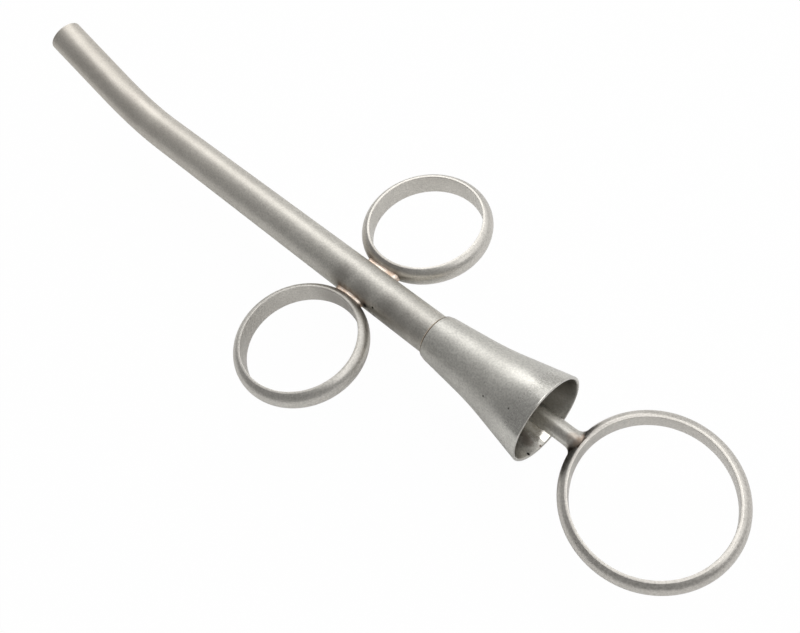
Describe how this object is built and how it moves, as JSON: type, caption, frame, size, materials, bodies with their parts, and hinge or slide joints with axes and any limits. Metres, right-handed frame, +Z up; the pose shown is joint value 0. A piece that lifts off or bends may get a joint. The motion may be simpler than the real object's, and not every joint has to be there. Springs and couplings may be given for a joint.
{
  "type": "bone graft syringe",
  "caption": "Slim tube syringe with a bent tip for placing bone graft, with a loading funnel, finger rings at its sides and a ringed plunger.",
  "frame": {"origin": "under the middle of the object, at the height of the lowest point of the funnel's rim, on the barrel's middle plane", "axes": "+X along the barrel from the bent tip to the thumb ring, +Y across to the left finger ring, +Z up, the side to which the tip bends"},
  "size_m": [0.1602, 0.053, 0.0221],
  "materials": {
    "satin_steel": "bead-blasted satin stainless steel",
    "drawn_steel": "fine drawn satin",
    "spring_wire": "drawn spring wire",
    "braze_metal": "brazed fillet, as cleaned",
    "tinted_steel": "heat tint beside a weld"
  },
  "bodies": {
    "barrel_unit": {"barrel": "satin_steel", "funnel": "satin_steel", "funnel_braze": "tinted_steel", "finger_ring_left": "satin_steel", "finger_ring_right": "satin_steel", "finger_braze_left": "braze_metal", "finger_braze_right": "braze_metal"},
    "ferrule_unit": {"rod_ferrule": "drawn_steel"},
    "handle": {"plunger_rod": "drawn_steel", "thumb_ring": "satin_steel", "thumb_weld": "tinted_steel"},
    "spring_1_unit": {"spring_section_1": "spring_wire"},
    "spring_2_unit": {"spring_section_2": "spring_wire"},
    "spring_3_unit": {"spring_section_3": "spring_wire"},
    "spring_4_unit": {"spring_section_4": "spring_wire"},
    "spring_5_unit": {"spring_section_5": "spring_wire"},
    "spring_6_unit": {"spring_section_6": "spring_wire"},
    "spring_7_unit": {"spring_section_7": "spring_wire"},
    "head_unit": {"head_collar": "drawn_steel", "plunger_head": "drawn_steel"}
  },
  "joints": [
    {"name": "plunger_slide", "type": "slide", "parent": "barrel_unit", "child": "ferrule_unit", "axis": [1, 0, 0], "range_m": [-0.00715, 0.009]},
    {"name": "plunger_turn", "type": "hinge", "parent": "ferrule_unit", "child": "handle", "pos_m": [0.0675, 0, 0.00755], "axis": [1, 0, 0], "continuous": true},
    {"name": "spring_1_ride", "type": "hinge", "parent": "barrel_unit", "child": "spring_1_unit", "pos_m": [-0.03573, 0, 0.07296], "axis": [0, 1, 0], "range_deg": [-7.59, 6.03]},
    {"name": "spring_2_ride", "type": "hinge", "parent": "barrel_unit", "child": "spring_2_unit", "pos_m": [-0.04713, 0, 0.0467], "axis": [0, 1, 0], "range_deg": [-13.08, 10.39]},
    {"name": "spring_3_ride", "type": "hinge", "parent": "barrel_unit", "child": "spring_3_unit", "pos_m": [-0.04915, 0, 0.04035], "axis": [0, 1, 0], "range_deg": [-15.73, 12.49]},
    {"name": "spring_4_ride", "type": "hinge", "parent": "barrel_unit", "child": "spring_4_unit", "pos_m": [-0.04847, 0, 0.04334], "axis": [0, 1, 0], "range_deg": [-14.39, 11.43]},
    {"name": "spring_5_ride", "type": "hinge", "parent": "barrel_unit", "child": "spring_5_unit", "pos_m": [-0.04662, 0, 0.05741], "axis": [0, 1, 0], "range_deg": [-10.3, 8.18]},
    {"name": "spring_6_ride", "type": "hinge", "parent": "barrel_unit", "child": "spring_6_unit", "pos_m": [-0.04355, 0, 0.11303], "axis": [0, 1, 0], "range_deg": [-4.89, 3.88]},
    {"name": "spring_7_ride", "type": "hinge", "parent": "barrel_unit", "child": "spring_7_unit", "pos_m": [-0.04105, 0, 0.33661], "axis": [0, 1, 0], "range_deg": [-1.57, 1.25]},
    {"name": "head_ride", "type": "hinge", "parent": "barrel_unit", "child": "head_unit", "pos_m": [0.01171, 0, 0.16556], "axis": [0, 1, 0], "range_deg": [-3, 2.38]}
  ],
  "couplings": [
    {"joint": "spring_1_ride", "follows": "plunger_slide", "rad_per_m": -14.711},
    {"joint": "spring_2_ride", "follows": "plunger_slide", "rad_per_m": -25.351},
    {"joint": "spring_3_ride", "follows": "plunger_slide", "rad_per_m": -30.494},
    {"joint": "spring_4_ride", "follows": "plunger_slide", "rad_per_m": -27.897},
    {"joint": "spring_5_ride", "follows": "plunger_slide", "rad_per_m": -19.959},
    {"joint": "spring_6_ride", "follows": "plunger_slide", "rad_per_m": -9.467},
    {"joint": "spring_7_ride", "follows": "plunger_slide", "rad_per_m": -3.039},
    {"joint": "head_ride", "follows": "plunger_slide", "rad_per_m": -5.812}
  ]
}
